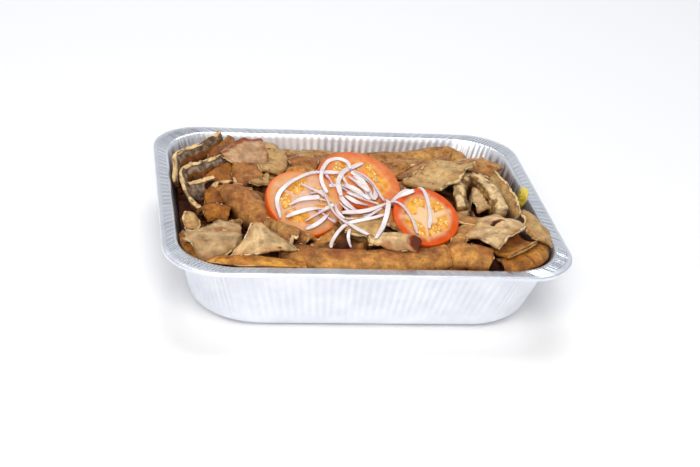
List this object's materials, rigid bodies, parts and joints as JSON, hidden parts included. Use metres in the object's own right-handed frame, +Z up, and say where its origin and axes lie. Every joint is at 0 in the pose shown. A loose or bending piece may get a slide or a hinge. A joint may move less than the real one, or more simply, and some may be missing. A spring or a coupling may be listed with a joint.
{
  "type": "foil tray meal",
  "caption": "Deep rectangular pressed foil tray heaped with carved roast meat strips, topped with tomato slices and red onion strands.",
  "frame": {"origin": "middle of the tray's flat underside, on the surface it stands on", "axes": "+Z up, +X along the tray's long side, -Y towards the front with the tomato slices facing it"},
  "size_m": [0.324, 0.264, 0.1001],
  "materials": {
    "pressed_foil": "bright pressed foil",
    "carved_meat": "browned, slightly greasy roast meat",
    "meat_heap": "loose heap of carved meat",
    "tomato": "wet cut tomato",
    "red_onion": "moist cut onion"
  },
  "bodies": {
    "root": {"corner_piece": "carved_meat", "curl_right": "carved_meat", "diagonal_roll": "carved_meat", "flake_back_right": "carved_meat", "flake_centre": "carved_meat", "flake_left_low": "carved_meat", "front_right_roll": "carved_meat", "front_roll": "carved_meat", "golden_flake_centre": "carved_meat", "left_roll": "carved_meat", "long_roll_back": "carved_meat", "loose_flap_on_roll": "carved_meat", "meat_bed": "meat_heap", "onion_arc_left": "red_onion", "onion_arc_right": "red_onion", "onion_arc_to_right_slice": "red_onion", "onion_leaf_lower_left": "red_onion", "onion_leaf_right_lower": "red_onion", "onion_leaf_right_middle": "red_onion", "onion_leaf_right_upper": "red_onion", "onion_loop_top": "red_onion", "onion_main_diagonal": "red_onion", "onion_short_left_upper": "red_onion", "onion_short_right": "red_onion", "onion_strand_from_top": "red_onion", "onion_strand_front": "red_onion", "onion_strand_left_lower": "red_onion", "onion_strand_left_pink": "red_onion", "onion_strand_on_right_slice": "red_onion", "onion_wedge_left": "red_onion", "outer_strip_right": "carved_meat", "pale_flake_back": "carved_meat", "pale_flake_right": "carved_meat", "pale_triangle_front": "carved_meat", "piece_back_middle": "carved_meat", "pleat_inner": "carved_meat", "pleat_middle": "carved_meat", "pleat_outer": "carved_meat", "ragged_flake_front_left": "carved_meat", "reddish_flake": "carved_meat", "ring_foot": "carved_meat", "ring_inner_piece": "carved_meat", "ring_right": "carved_meat", "roll_front_right_corner": "carved_meat", "second_roll_back": "carved_meat", "shard_right_edge": "carved_meat", "sheet_back_left": "carved_meat", "short_roll_left": "carved_meat", "small_pale_flake": "carved_meat", "small_roll_centre": "carved_meat", "strip_between_tomatoes": "carved_meat", "strip_front_left": "carved_meat", "strip_left_front_corner": "carved_meat", "strip_under_tomato": "carved_meat", "tomato_slice_back": "tomato", "tomato_slice_left": "tomato", "tomato_slice_right": "tomato", "tray": "pressed_foil"}
  },
  "joints": []
}
